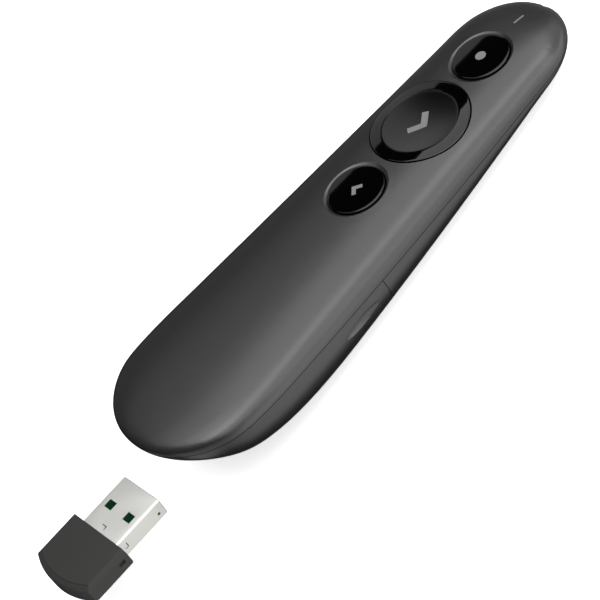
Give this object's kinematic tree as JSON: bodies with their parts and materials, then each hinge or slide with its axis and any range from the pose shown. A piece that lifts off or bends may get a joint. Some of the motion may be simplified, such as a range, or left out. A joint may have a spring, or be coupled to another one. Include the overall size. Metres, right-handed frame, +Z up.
{
  "type": "wireless presentation clicker",
  "caption": "Slim tapered hand-held presentation remote with round push buttons on its crown, a slide-off battery door underneath and a plug-in receiver that slides into the door's tail.",
  "frame": {"origin": "middle of the small flat that the belly rests on", "axes": "+Z up out of the resting surface, +Y along the body to the nose that points at the screen, +X to the holder's right"},
  "size_m": [0.0388, 0.1634, 0.0256],
  "materials": {
    "shell": "satin",
    "black_gloss": "gloss",
    "black_matte": "matte",
    "icon": "matte",
    "inner_plastic": "matte",
    "board": "satin",
    "chip": "matte",
    "switch": "satin",
    "steel": "satin",
    "screw": "satin",
    "gold": "polished",
    "brass": "satin",
    "lens": "clear",
    "light": "satin",
    "cell_left": "satin",
    "receiver_plastic": "matte",
    "tongue": "matte"
  },
  "bodies": {
    "handset": {"top_shell": "shell", "front_lower_shell": "shell", "circuit_board": "board", "next_switch": "switch", "back_switch": "switch", "laser_switch": "switch", "radio_chip": "chip", "board_components": "chip", "board_screws": "screw", "frame_screws": "screw", "laser_barrel": "brass", "laser_diode": "brass", "laser_lens": "lens", "laser_window": "lens", "status_light_pipe": "light", "status_led": "light", "battery_left": "cell_left", "battery_right": "cell_left", "battery_frame": "inner_plastic", "battery_contact_bridge": "steel", "battery_contacts_front": "steel", "battery_spring_left": "steel", "battery_spring_right": "steel"},
    "door": {"battery_door": "shell"},
    "receiver": {"receiver_cap": "receiver_plastic", "receiver_shield": "steel", "receiver_tongue": "tongue", "receiver_contacts": "gold", "receiver_board": "board", "receiver_chip": "chip"},
    "next_button": {"next_ring": "black_gloss", "next_dish": "black_matte", "next_chevron": "icon", "next_plunger": "inner_plastic"},
    "back_button": {"back_cap": "black_gloss", "back_chevron": "icon", "back_plunger": "inner_plastic"},
    "laser_button": {"laser_cap": "black_gloss", "laser_dot": "icon", "laser_plunger": "inner_plastic"}
  },
  "joints": [
    {"name": "door_slide", "type": "slide", "parent": "handset", "child": "door", "axis": [0, -0.993, 0.1184], "range_m": [0, 0.057]},
    {"name": "receiver_slide", "type": "slide", "parent": "door", "child": "receiver", "axis": [0, 0.993, -0.1184], "range_m": [0, 0.0435]},
    {"name": "next_press", "type": "slide", "parent": "handset", "child": "next_button", "axis": [0, -0.1184, -0.993], "range_m": [0, 0.0005], "stiffness_N_per_m": 900, "springref_m": -0.0003},
    {"name": "back_press", "type": "slide", "parent": "handset", "child": "back_button", "axis": [0, -0.1184, -0.993], "range_m": [0, 0.0005], "stiffness_N_per_m": 700, "springref_m": -0.0003},
    {"name": "laser_press", "type": "slide", "parent": "handset", "child": "laser_button", "axis": [0, -0.1184, -0.993], "range_m": [0, 0.0005], "stiffness_N_per_m": 700, "springref_m": -0.0003}
  ]
}
